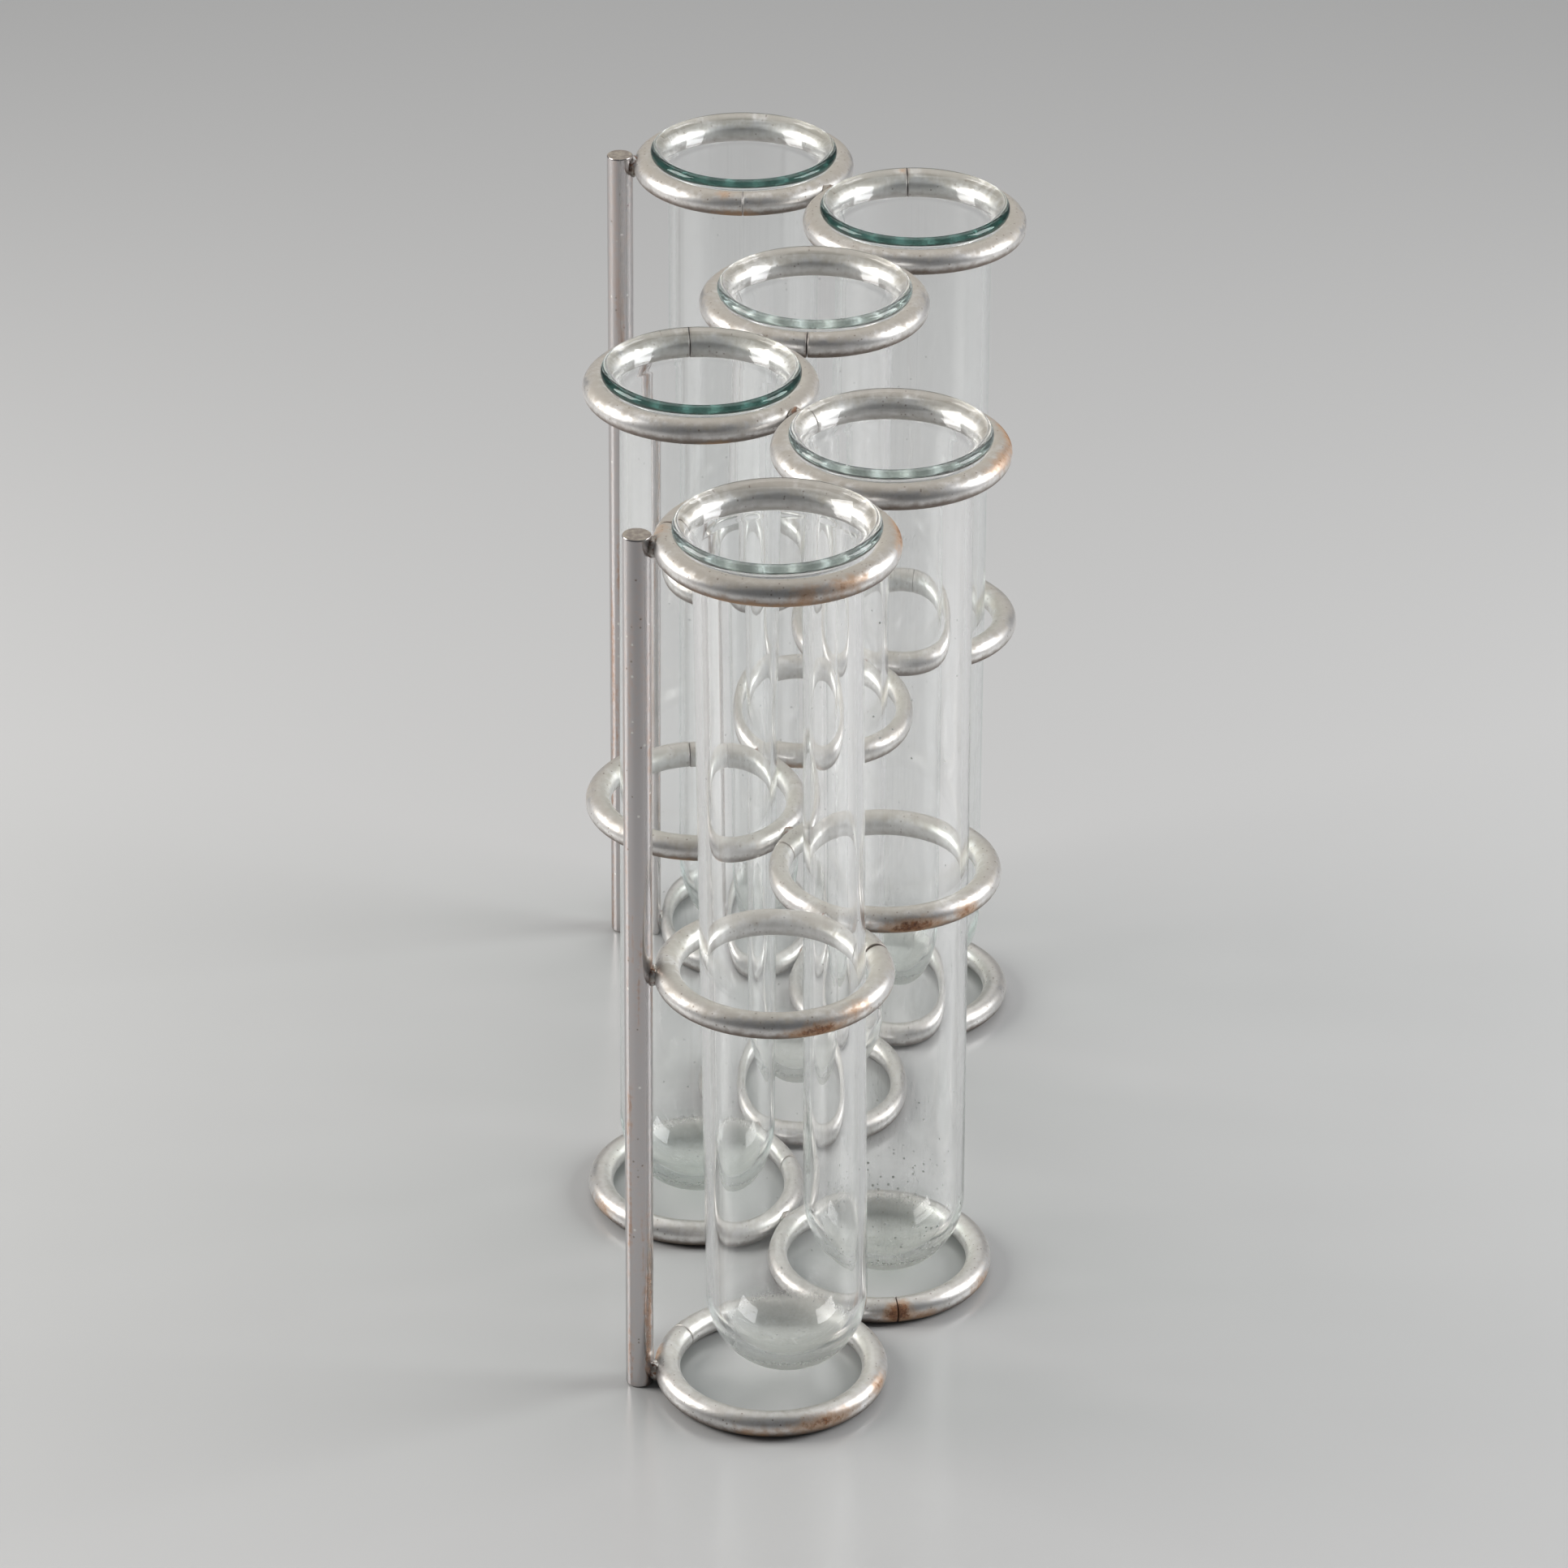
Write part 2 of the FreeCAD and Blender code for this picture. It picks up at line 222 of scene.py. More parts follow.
def capped_tube(rows, start, end):
    """Points and faces of a closed skin: loops of equal length between two end points."""
    sides = len(rows[0])
    points = [start]
    for row in rows:
        points.extend(row)
    points.append(end)
    faces = [(0, 1 + (side + 1) % sides, 1 + side) for side in range(sides)]
    for index in range(len(rows) - 1):
        here = 1 + index * sides
        there = here + sides
        for side in range(sides):
            after = (side + 1) % sides
            faces.append((here + side, here + after, there + after, there + side))
    last = 1 + (len(rows) - 1) * sides
    tip = len(points) - 1
    faces.extend((last + side, last + (side + 1) % sides, tip) for side in range(sides))
    return points, faces


def store(piece, name, values):
    """Keep one number per point on the mesh for its material to read."""
    attribute = piece.data.attributes.new(name, "FLOAT", "POINT")
    attribute.data.foreach_set("value", values)


def box_middle(node_name):
    """Centre of the box of a node."""
    low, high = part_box(node_name)
    return (low + high) / 2


SEED_SHIFTS = (7.3, 3.1, 1.7)       # how far apart neighbouring seeds read the noise


def bump_at(place, scale, seed):
    """Smooth noise from -1 to 1; scale is the size of its lumps."""
    return noise.noise(place / scale + Vector([seed * shift for shift in SEED_SHIFTS]))


# ------------------------------------------------------------------ node helpers
def node(tree, kind, inputs=None, **settings):
    """Add a node. An input is given a value, or the socket that feeds it."""
    made = tree.nodes.new(kind)
    for key, value in settings.items():
        setattr(made, key, value)
    for key, value in (inputs or {}).items():
        if isinstance(value, bpy.types.NodeSocket):
            tree.links.new(value, made.inputs[key])
        else:
            made.inputs[key].default_value = value
    return made


def math_node(tree, operation, a, b=0.0, clamp=False):
    """One step of arithmetic on numbers or sockets."""
    return node(tree, "ShaderNodeMath", {0: a, 1: b}, operation=operation,
                use_clamp=clamp).outputs[0]


def times(tree, a, b):
    return math_node(tree, "MULTIPLY", a, b)


def plus(tree, a, b):
    return math_node(tree, "ADD", a, b)


def larger(tree, a, b):
    return math_node(tree, "MAXIMUM", a, b)


def about_zero(tree, texture, amount):
    """Noise moved to lie about 0, times amount."""
    return times(tree, math_node(tree, "SUBTRACT", texture, 0.5), amount)


def mix_colour(tree, factor, a, b):
    """Colour a where factor is 0 and colour b where it is 1."""
    return node(tree, "ShaderNodeMix", {0: factor, 6: a, 7: b}, data_type="RGBA").outputs[2]


def step(tree, value, low, high, out_low=0.0, out_high=1.0):
    """Smooth step from out_low at low to out_high at high."""
    inputs = {"Value": value, "From Min": low, "From Max": high,
              "To Min": out_low, "To Max": out_high}
    return node(tree, "ShaderNodeMapRange", inputs, interpolation_type="SMOOTHSTEP").outputs[0]


def noise_texture(tree, place, size, detail=3.0, roughness=0.55, warp=0.0):
    """Noise whose lumps are about size metres across."""
    inputs = {"Vector": place, "Scale": 1 / size, "Detail": detail, "Roughness": roughness,
              "Distortion": warp}
    return node(tree, "ShaderNodeTexNoise", inputs).outputs[0]


DOT_EDGE = 0.32                     # a dot fades in between these distances, as shares of a cell
DOT_CORE = 0.16


def specks(tree, place, size, share, seed):
    """Small scattered dots: 1 inside a dot and 0 elsewhere; share is how many cells have one."""
    shifted = node(tree, "ShaderNodeVectorMath", {0: place, 1: (seed, seed * 0.7, seed * 0.3)})
    cells = node(tree, "ShaderNodeTexVoronoi", {"Vector": shifted.outputs[0], "Scale": 1 / size})
    chosen = node(tree, "ShaderNodeSeparateColor", {0: cells.outputs["Color"]}).outputs[0]
    picked = math_node(tree, "LESS_THAN", chosen, share)
    return times(tree, picked, step(tree, cells.outputs["Distance"], DOT_EDGE, DOT_CORE))


def stretched(tree, place, share):
    """Coordinates for a pattern that is drawn out along Z; a smaller share makes it longer."""
    return node(tree, "ShaderNodeVectorMath", {0: place, 1: (1, 1, share)},
                operation="MULTIPLY").outputs[0]


def read(tree, name):
    """Number that store() kept on the mesh."""
    return node(tree, "ShaderNodeAttribute", attribute_name=name).outputs["Fac"]


def facing_up(tree):
    """1 on a surface that faces up, 0 on an upright one and -1 on an underside."""
    normal = node(tree, "ShaderNodeNewGeometry").outputs["Normal"]
    return node(tree, "ShaderNodeSeparateXYZ", {0: normal}).outputs[2]


def new_material(name):
    """Empty node material, its tree and the coordinates of the piece itself."""
    material = bpy.data.materials.new(name)
    material.use_nodes = True
    tree = material.node_tree
    tree.nodes.clear()
    place = node(tree, "ShaderNodeTexCoord").outputs["Object"]
    return material, tree, place


def bump(tree, height, strength, distance, below=None):
    """Fine relief from a texture, laid over the relief below if there is any."""
    inputs = {"Height": height, "Strength": strength, "Distance": distance}
    if below is not None:
        inputs["Normal"] = below
    return node(tree, "ShaderNodeBump", inputs).outputs[0]


def finish_material(tree, inputs):
    """Close a material with one shader that has these inputs."""
    shader = node(tree, "ShaderNodeBsdfPrincipled", inputs)
    node(tree, "ShaderNodeOutputMaterial", {"Surface": shader.outputs[0]})


# ------------------------------------------------------------------ materials
SILVER = (0.83, 0.815, 0.80, 1)
SILVER_DULL = (0.70, 0.68, 0.655, 1)
PATINA = (0.45, 0.40, 0.33, 1)
# painted shade: the dark brown that the wire's undersides are coloured
UNDERSIDE_SHADE = (0.17, 0.120, 0.09, 1)
SPECK = (0.16, 0.095, 0.06, 1)
RUST_STAIN = (0.60, 0.36, 0.20, 1)
RUST_BRIGHT = (0.42, 0.185, 0.080, 1)
RUST_DARK = (0.13, 0.045, 0.022, 1)
STEEL = (0.56, 0.535, 0.535, 1)
STEEL_WARM = (0.60, 0.535, 0.515, 1)
COPPER = (0.50, 0.285, 0.18, 1)
CUT_STEEL = (0.30, 0.255, 0.22, 1)
WHITE_SPECK = (0.85, 0.83, 0.80, 1)
WELD_GREY = (0.40, 0.36, 0.31, 1)
CLEAN_GLASS = (1, 1, 1, 1)
DUST_COLOUR = (0.78, 0.78, 0.74, 1)
FROST_COLOUR = (0.47, 0.455, 0.345, 1)
GLASS_TINT = (0.35, 0.59, 0.56, 1)  # what thick glass lets through
GREEN_DENSITY = 20.0                # per metre
CLEAR_DENSITY = 2.5
GLASS_IOR = 1.5
# how much light a wall passes to what lies in its shadow, met face on and edge on
SHADOW_FACE = (0.97, 0.98, 0.975, 1)
SHADOW_EDGE = (0.50, 0.55, 0.53, 1)


def rust_colour(tree, place):
    """Rust that changes from dark to bright in fine flakes."""
    flakes = noise_texture(tree, place, 0.5 * MM, detail=5, roughness=0.7)
    return mix_colour(tree, step(tree, flakes, 0.36, 0.62), RUST_DARK, RUST_BRIGHT)


def ring_paint():
    """Aluminium paint on steel wire, dulled on top and rusting in places, with painted shade
    darkening its undersides to brown.
    """
    material, tree, place = new_material("ring_paint")
    up = facing_up(tree)
    blotch = noise_texture(tree, place, 7 * MM, detail=4, roughness=0.6)
    mottle = noise_texture(tree, place, 1.3 * MM, detail=5, roughness=0.62)
    grain = noise_texture(tree, place, 0.38 * MM, detail=3, roughness=0.6)

    colour = mix_colour(tree, step(tree, mottle, 0.35, 0.75), SILVER, SILVER_DULL)
    patchy = about_zero(tree, mottle, 0.9)

    on_top = plus(tree, up, about_zero(tree, blotch, 1.6))
    on_top = plus(tree, on_top, patchy)
    on_top = times(tree, step(tree, on_top, 0.25, 1.0, 0.0, 0.9), read(tree, "patina"))
    colour = mix_colour(tree, on_top, colour, PATINA)

    # Painted shade: faces that point down are darkened towards dark brown, most on the wire's outer
    # half.
    lowest = math_node(tree, "SUBTRACT", times(tree, patchy, 0.5), up)
    painted_under_shade = times(tree, step(tree, lowest, -0.10, 0.60, 0.0, 0.90),
                  step(tree, read(tree, "outside"), 0.35, 0.65, 0.35, 1.0))
    colour = mix_colour(tree, painted_under_shade, colour, UNDERSIDE_SHADE)

    dots = specks(tree, place, 0.6 * MM, share=0.14, seed=0.013)
    colour = mix_colour(tree, times(tree, dots, 0.6), colour, SPECK)

    rust = read(tree, "rust")
    stained = step(tree, plus(tree, rust, times(tree, patchy, 0.7)), 0.06, 0.60, 0.0, 0.75)
    colour = mix_colour(tree, stained, colour, RUST_STAIN)
    broken = plus(tree, patchy, times(tree, grain, 0.5))
    rusted = step(tree, plus(tree, rust, broken), 0.72, 1.05, 0.0, 0.92)
    colour = mix_colour(tree, rusted, colour, rust_colour(tree, place))
    colour = mix_colour(tree, read(tree, "seam"), colour, SPECK)

    # the painted shade on the undersides also takes some of the metal's shine away there
    covered = larger(tree, rusted, times(tree, painted_under_shade, 0.5))
    covered = larger(tree, covered, times(tree, stained, 0.6))
    covered = larger(tree, covered, times(tree, on_top, 0.85))
    metallic = step(tree, covered, 0.0, 1.0, 0.90, 0.10)
    uneven = about_zero(tree, mottle, 0.16)
    roughness = plus(tree, step(tree, covered, 0.0, 1.0, 0.39, 0.66), uneven)

    lumps = bump(tree, mottle, 0.16, 0.10 * MM)
    fine = bump(tree, grain, 0.40, 0.05 * MM, below=lumps)
    finish_material(tree, {"Base Color": colour, "Metallic": metallic, "Roughness": roughness,
                           "Normal": fine})
    return material


def rod_steel():
    """Plated rod: glossier than the rings, drawn lengthwise, with copper showing through."""
    material, tree, place = new_material("rod_steel")
    drawn = noise_texture(tree, stretched(tree, place, 0.03), 0.40 * MM, detail=3, roughness=0.5)
    streak = noise_texture(tree, stretched(tree, place, 0.06), 2.2 * MM, detail=4, roughness=0.6)
    mottle = noise_texture(tree, place, 0.9 * MM, detail=4, roughness=0.6)
    up = facing_up(tree)

    height = node(tree, "ShaderNodeSeparateXYZ", {0: place}).outputs[2]
    handled = step(tree, height, HANDLED_TOP, HANDLED_FULLY, 0.15, 1.0)
    warm = step(tree, plus(tree, mottle, streak), 0.90, 1.25)
    colour = mix_colour(tree, warm, STEEL, STEEL_WARM)
    worn = plus(tree, streak, times(tree, mottle, 0.25))
    coppery = times(tree, step(tree, worn, 0.64, 0.82, 0.0, 0.75), handled)
    colour = mix_colour(tree, coppery, colour, COPPER)
    crumbs = specks(tree, place, 0.9 * MM, share=0.035, seed=0.021)
    colour = mix_colour(tree, crumbs, colour, WHITE_SPECK)
    dots = specks(tree, place, 0.7 * MM, share=0.05, seed=0.037)
    colour = mix_colour(tree, times(tree, dots, 0.6), colour, SPECK)

    ended = step(tree, math_node(tree, "ABSOLUTE", up), 0.5, 0.8)
    cut_colour = mix_colour(tree, step(tree, mottle, 0.4, 0.65), CUT_STEEL, PATINA)
    colour = mix_colour(tree, ended, colour, cut_colour)

    rough = larger(tree, ended, times(tree, coppery, 0.5))
    metallic = step(tree, rough, 0.0, 1.0, 0.96, 0.30)
    uneven = about_zero(tree, mottle, 0.08)
    roughness = plus(tree, step(tree, rough, 0.0, 1.0, 0.15, 0.55), uneven)
    fine = bump(tree, drawn, 0.04, 0.03 * MM)
    lumps = bump(tree, mottle, 0.025, 0.06 * MM, below=fine)
    finish_material(tree, {"Base Color": colour, "Metallic": metallic, "Roughness": roughness,
                           "Normal": lumps})
    return material


def weld_metal():
    """Burnt and rusty weld bead, partly painted over."""
    material, tree, place = new_material("weld_metal")
    mottle = noise_texture(tree, place, 0.9 * MM, detail=5, roughness=0.65)
    painted = step(tree, noise_texture(tree, place, 1.8 * MM), 0.38, 0.52)
    colour = mix_colour(tree, painted, WELD_GREY, SILVER_DULL)
    rusted = step(tree, mottle, 0.49, 0.60, 0.0, 0.85)
    colour = mix_colour(tree, rusted, colour, rust_colour(tree, place))
    metallic = step(tree, rusted, 0.0, 1.0, 0.6, 0.05)
    roughness = step(tree, rusted, 0.0, 1.0, 0.48, 0.8)
    fine = bump(tree, mottle, 0.5, 0.12 * MM)
    finish_material(tree, {"Base Color": colour, "Metallic": metallic, "Roughness": roughness,
                           "Normal": fine})
    return material


def glass_dirt(tree, place, amount):
    """How dirty the glass is: a film, motes, scratches, the frosted end and crumbs in it."""
    tall = stretched(tree, place, 0.45)
    film = noise_texture(tree, tall, 9 * MM, detail=5, roughness=0.62, warp=0.6)
    fine = noise_texture(tree, place, 0.5 * MM, detail=3, roughness=0.6)
    veil = times(tree, step(tree, film, 0.50, 0.80), step(tree, fine, 0.35, 0.75, 0.6, 1.0))
    veil = times(tree, veil, times(tree, amount, 0.12))
    motes = specks(tree, place, 0.8 * MM, share=0.005, seed=0.029)
    motes = times(tree, motes, times(tree, amount, 0.6))

    taller = stretched(tree, place, 0.10)
    hairs = noise_texture(tree, taller, 1.1 * MM, detail=1, roughness=0.4, warp=0.8)
    line = math_node(tree, "ABSOLUTE", math_node(tree, "SUBTRACT", hairs, 0.60))
    scratches = times(tree, step(tree, line, 0.006, 0.001), step(tree, film, 0.55, 0.66))
    often = math_node(tree, "POWER", amount, 3.0)
    scratches = times(tree, scratches, times(tree, often, 0.5))

    frost = times(tree, read(tree, "frost"), step(tree, fine, 0.25, 0.70, 0.65, 1.0))
    dirty = larger(tree, larger(tree, veil, scratches), motes)
    dirty = larger(tree, dirty, frost)
    crumbs = times(tree, specks(tree, place, 0.9 * MM, share=0.12, seed=0.041),
                   step(tree, amount, 0.86, 1.0, 0.0, 0.9))
    return larger(tree, dirty, crumbs)


def tube_glass(name, density):
    """Clear soda glass, green in the thick, with dust, scratches and dried water marks.

    Lamplight passes straight through and is dimmed most at the edges, so its shadow is light.
    """
    material, tree, place = new_material(name)
    dirty = glass_dirt(tree, place, read(tree, "dust"))
    clear = math_node(tree, "SUBTRACT", 1.0, dirty, clamp=True)
    dust_colour = mix_colour(tree, read(tree, "frost"), DUST_COLOUR, FROST_COLOUR)
    colour = mix_colour(tree, dirty, CLEAN_GLASS, dust_colour)
    roughness = step(tree, dirty, 0.02, 0.5, 0.012, 0.40)
    shader = node(tree, "ShaderNodeBsdfPrincipled",
                  {"Base Color": colour, "Roughness": roughness, "IOR": GLASS_IOR,
                   "Transmission Weight": clear})

    edge = node(tree, "ShaderNodeLayerWeight", {"Blend": 0.35}).outputs["Facing"]
    shade = mix_colour(tree, step(tree, edge, 0.15, 0.95), SHADOW_FACE, SHADOW_EDGE)
    through = node(tree, "ShaderNodeBsdfTransparent", {"Color": shade})
    lamp_side = node(tree, "ShaderNodeLightPath").outputs["Is Shadow Ray"]
    both = node(tree, "ShaderNodeMixShader",
                {0: lamp_side, 1: shader.outputs[0], 2: through.outputs[0]})
    tint = node(tree, "ShaderNodeVolumeAbsorption", {"Color": GLASS_TINT, "Density": density})
    node(tree, "ShaderNodeOutputMaterial",
         {"Surface": both.outputs[0], "Volume": tint.outputs[0]})
    return material


# ------------------------------------------------------------------ rings
def degrees_between(first, second):
    """Shortest turn from the second angle to the first, -180 to 180."""
    return (first - second + 180) % 360 - 180


def rust_at(level, number, direction, side, bend):
    """How rusty the wire is at one place, from 0 to about 1."""
    total = 0.0
    for patch_level, patch_ring, patch_direction, patch_side, length, strength in RUST:
        if (patch_level, patch_ring) != (level, number):
            continue
        turned = degrees_between(direction, patch_direction)
        along = math.radians(turned) * bend / (length * MM)
        round_wire = degrees_between(side, patch_side) / RUST_SPREAD
        total += strength * math.exp(-along * along - round_wire * round_wire)
    return total


def wire_stations(span, bend):
    """Sections of the wire from end to end, as (turn, share of the wire's radius)."""
    burr_angle = BURR / bend
    stations = [(along * burr_angle, share) for along, share in WIRE_END]
    stations += [(burr_angle + (span - 2 * burr_angle) * index / RING_SECTIONS, 1.0)
                 for index in range(1, RING_SECTIONS)]
    stations += [(span - along * burr_angle, share) for along, share in reversed(WIRE_END)]
    return stations


def make_ring(level, number, paint):
    """Wire bent round until its cropped ends almost meet."""
    node_name = f"{level}_ring_{number}"
    low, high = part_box(node_name)
    centre = (low + high) / 2
    wire = (high.z - low.z) / 2
    bend = (high.x - low.x) / 2 - wire
    facing = math.radians(SEAM_SIDES[level][number - 1])
    closed = (level, number) in CLOSED_SEAMS
    half_gap = (CLOSED_SEAM_GAP if closed else SEAM_GAP) / 2 / bend
    seam_dirt = CLOSED_SEAM_DIRT if closed else SEAM_DIRT
    rise = SEAM_STEPS.get((level, number), 0.0) * MM
    seed = LEVELS.index(level) * len(TUBES) + number
    span = FULL_TURN - 2 * half_gap

    def middle_of(turn):
        """Centre of the wire, with its small strays, and the direction away from the ring's."""
        angle = facing + half_gap + turn
        outward = Vector((math.cos(angle), math.sin(angle), 0))
        stray = bump_at(outward, WANDER_SIZE, seed) * WIRE_WANDER
        lift = bump_at(outward, WANDER_SIZE, seed + RISE_SEED) * WIRE_WANDER * WANDER_RISE
        near_end = math.exp(-(turn * bend / STEP_REACH) ** 2)
        far_end = math.exp(-((span - turn) * bend / STEP_REACH) ** 2)
        lift += rise * (near_end - far_end) / 2
        reach = bend + stray - abs(rise) * near_end * STEP_TUCK
        return centre + outward * reach + UP * lift, outward

    rows = []
    rust = [0.0]
    seam = [0.0]
    outside = [0.5]
    for turn, share in wire_stations(span, bend):
        middle, outward = middle_of(turn)
        direction = math.degrees(facing + half_gap + turn)
        to_end = min(turn, span - turn) * bend
        row = []
        for side in range(WIRE_SIDES):
            around = FULL_TURN * side / WIRE_SIDES
            way = outward * math.cos(around) + UP * math.sin(around)
            dent = bump_at(middle * DENTS_ALONG + way * DENTS_ROUND, 1.0, seed) * WIRE_DENT
            row.append(middle + way * (wire * share + dent - WIRE_ALLOWANCE))
            rust.append(rust_at(level, number, direction, math.degrees(around), bend))
            seam.append(math.exp(-(to_end / SEAM_STAIN) ** 2) * seam_dirt)
            outside.append(0.5 + 0.5 * math.cos(around))
        rows.append(row)
    points, faces = capped_tube(rows, middle_of(0.0)[0], middle_of(span)[0])
    ring = mesh_object(f"ring_{level}_{number}", points, faces)
    store(ring, "rust", rust + [0.0])
    store(ring, "seam", seam + [0.0])
    store(ring, "outside", outside + [0.5])
    store(ring, "patina", [PATINA_SHARE[level]] * len(points))
    ring.data.materials.append(paint)
    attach(ring, "rack")
    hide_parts(node_name)


# ------------------------------------------------------------------ rods
def rod_stations(length):
    """Sections of a rod from foot to tip, as (height, share of the rod's radius)."""
    stations = list(ROD_END)
    stations += [(ROD_CHAMFER * 2 + (length - ROD_CHAMFER * 4) * index / ROD_SECTIONS, 1.0)
                 for index in range(ROD_SECTIONS + 1)]
    stations += [(length - depth, share) for depth, share in reversed(ROD_END)]
    return stations


def make_rod(node_name, steel):
    """Straight bar with cropped ends, a little out of square and dished by the cutter."""
    low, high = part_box(node_name)
    centre = (low + high) / 2
    radius = (high.x - low.x) / 2
    length = high.z - low.z
    seed = centre.y * 100
    rows = []
    for height, share in rod_stations(length):
        row = []
        for side in range(ROD_SIDES):
            around = FULL_TURN * side / ROD_SIDES
            way = Vector((math.cos(around), math.sin(around), 0))
            place = Vector((0, 0, height)) + way * radius
            dent = (bump_at(place, ROD_DENT_SIZE, seed) - 1) * ROD_DENT
            nick = 0.0
            if share < 1.0:
                top_side = 1 if height > length / 2 else -1
                uneven = 1 + bump_at(way, ROD_NICK_SIZE, seed + top_side)
                nick = -top_side * uneven * ROD_NICK
            row.append(Vector((centre.x, centre.y, low.z)) + way * (radius * share + dent)
                       + UP * (height + nick))
        rows.append(row)
    start = Vector((centre.x, centre.y, low.z + ROD_DISH))
    end = Vector((centre.x, centre.y, high.z - ROD_DISH))
    points, faces = capped_tube(rows, start, end)
    rod = mesh_object(f"rod_{node_name.split('_')[0]}", points, faces)
    rod.data.materials.append(steel)
    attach(rod, "rack")
    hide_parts(node_name)


# ------------------------------------------------------------------ welds
def weld_bead(place, across, seed):
    """Lumpy bead in the corner between two members; across points from one to the other."""
    along = UP.cross(across)
    rows = []
    for band in range(1, WELD_BANDS):
        polar = math.pi * band / WELD_BANDS
        row = []
        for side in range(WELD_SIDES):
            around = FULL_TURN * side / WELD_SIDES
            way = (across * (WELD_ACROSS * math.sin(polar) * math.cos(around))
                   + along * (WELD_ALONG * math.sin(polar) * math.sin(around))
                   - UP * (WELD_UP * math.cos(polar)))
            lumps = WELD_LUMP * bump_at(way, WELD_LUMP_SIZE, seed)
            pimples = WELD_PIMPLE * bump_at(way, WELD_PIMPLE_SIZE, seed)
            row.append(place + way * (WELD_RADIUS * (1 + lumps + pimples)))
        rows.append(row)
    tip = UP * WELD_RADIUS * WELD_TIP
    return capped_tube(rows, place - tip, place + tip)


def make_welds(name, joints, metal, node_name):
    """One piece that holds the beads of several joints, given as (place, across)."""
    points = []
    faces = []
    for number, (place, across) in enumerate(joints):
        bead_points, bead_faces = weld_bead(place, across, number + len(name))
        first = len(points)
        points += bead_points
        faces += [tuple(first + corner for corner in face) for face in bead_faces]
    beads = mesh_object(name, points, faces)
    beads.data.materials.append(metal)
    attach(beads, "rack")
    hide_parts(node_name)


def ring_joints(level):
    """Where neighbouring rings of one level touch."""
    middles = [box_middle(f"{level}_ring_{number}") for number in TUBES]
    return [((start + end) / 2, (end - start).normalized())
            for start, end in zip(middles, middles[1:])]


def rod_joints():
    """Where the end rings touch the two rods."""
    joints = []
    for rod, number in (("back_rod", 1), ("front_rod", 6)):
        for level in LEVELS:
            ring = box_middle(f"{level}_ring_{number}")
            bar = box_middle(rod)
            bar.z = ring.z
            across = (bar - ring).normalized()
            low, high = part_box(f"{level}_ring_{number}")
            joints.append((ring + across * ((high.x - low.x) / 2), across))
    return joints


# ------------------------------------------------------------------ tubes
def arc(centre, radius, start, end, count):
    """Points of an arc in (radius, height), both ends included; angles from the axis outward."""
    for index in range(count + 1):
        angle = start + (end - start) * index / count
        yield centre[0] + radius * math.cos(angle), centre[1] + radius * math.sin(angle)


def lip_place():
    """Centre of the lip's bead over the start of the flare, as (radius, height)."""
    reach = FLARE_RADIUS + LIP_THICKNESS / 2
    return (TUBE_RADIUS + FLARE_RADIUS - reach * math.cos(FLARE_SWEEP),
            reach * math.sin(FLARE_SWEEP))


def tube_profile(length):
    """Outline from the outer pole, over the lip, to the inner one.

    Each point is a radius, a height and how deep the bore's ripple is there, from 0 to 1.
    """
    quarter = math.pi / 2
    bore = TUBE_RADIUS - WALL
    bead = LIP_THICKNESS / 2
    lip_radius, lip_rise = lip_place()
    flare_start = length - lip_rise - bead
    across = lip_radius - bore
    over_radius = (across ** 2 + lip_rise ** 2 - bead ** 2) / (2 * (across - bead))
    crest = math.atan2(lip_rise, across - over_radius)
    inner_centre = BOTTOM_THICKNESS + bore

    outline = [(r, h, 0.0) for r, h in arc((0, TUBE_RADIUS), TUBE_RADIUS,
                                           -quarter + POLE_GAP, 0, END_ROWS)]
    rise = flare_start - TUBE_RADIUS
    outline += [(TUBE_RADIUS, TUBE_RADIUS + rise * row / WALL_ROWS, 0.0)
                for row in range(1, WALL_ROWS)]
    outline += [(r, h, 0.0) for r, h in arc((TUBE_RADIUS + FLARE_RADIUS, flare_start), FLARE_RADIUS,
                                            math.pi, math.pi - FLARE_SWEEP, FLARE_ROWS)]
    lip = arc((lip_radius, flare_start + lip_rise), bead, -FLARE_SWEEP, crest, LIP_ROWS)
    outline += [(r, h, 0.0) for r, h in list(lip)[1:-1]]
    outline += [(r, h, 0.0) for r, h in arc((bore + over_radius, flare_start), over_radius,
                                            crest, math.pi, FLARE_ROWS)]
    drop = flare_start - inner_centre
    for row in range(1, WALL_ROWS):
        height = flare_start - drop * row / WALL_ROWS
        share = min(1.0, RIPPLE_START * row / WALL_ROWS)
        outline.append((bore, height, share))
    inner_end = arc((0, inner_centre), bore, 0, -quarter + POLE_GAP, END_ROWS)
    outline += [(r, h, math.cos(quarter * row / END_ROWS)) for row, (r, h) in enumerate(inner_end)]
    return outline


def draw_lines(number):
    """Ripple of the bore round the tube: a few waves with their own places and strengths."""
    draw = random.Random(number)
    return [(count, draw.uniform(0, FULL_TURN), draw.uniform(0.3, 1.0) / count ** 0.5)
            for count in (2, 3, 5, 7)]


def tube_length(height, axis):
    """Length along its axis of a leaning tube whose box is this high."""
    bead = LIP_THICKNESS / 2
    lean_room = lip_place()[0] * math.sqrt(1 - axis.z ** 2)
    return (height - TUBE_RADIUS - bead - lean_room) / axis.z + TUBE_RADIUS + bead


def ripple_at(waves, around, height):
    """Ripple of the bore at one place; wide waves twist one way up the tube and narrow ones back."""
    return sum(size * math.cos(count * around + shift + height * DRAW_LINE_TWIST * (count - 4))
               for count, shift, size in waves)


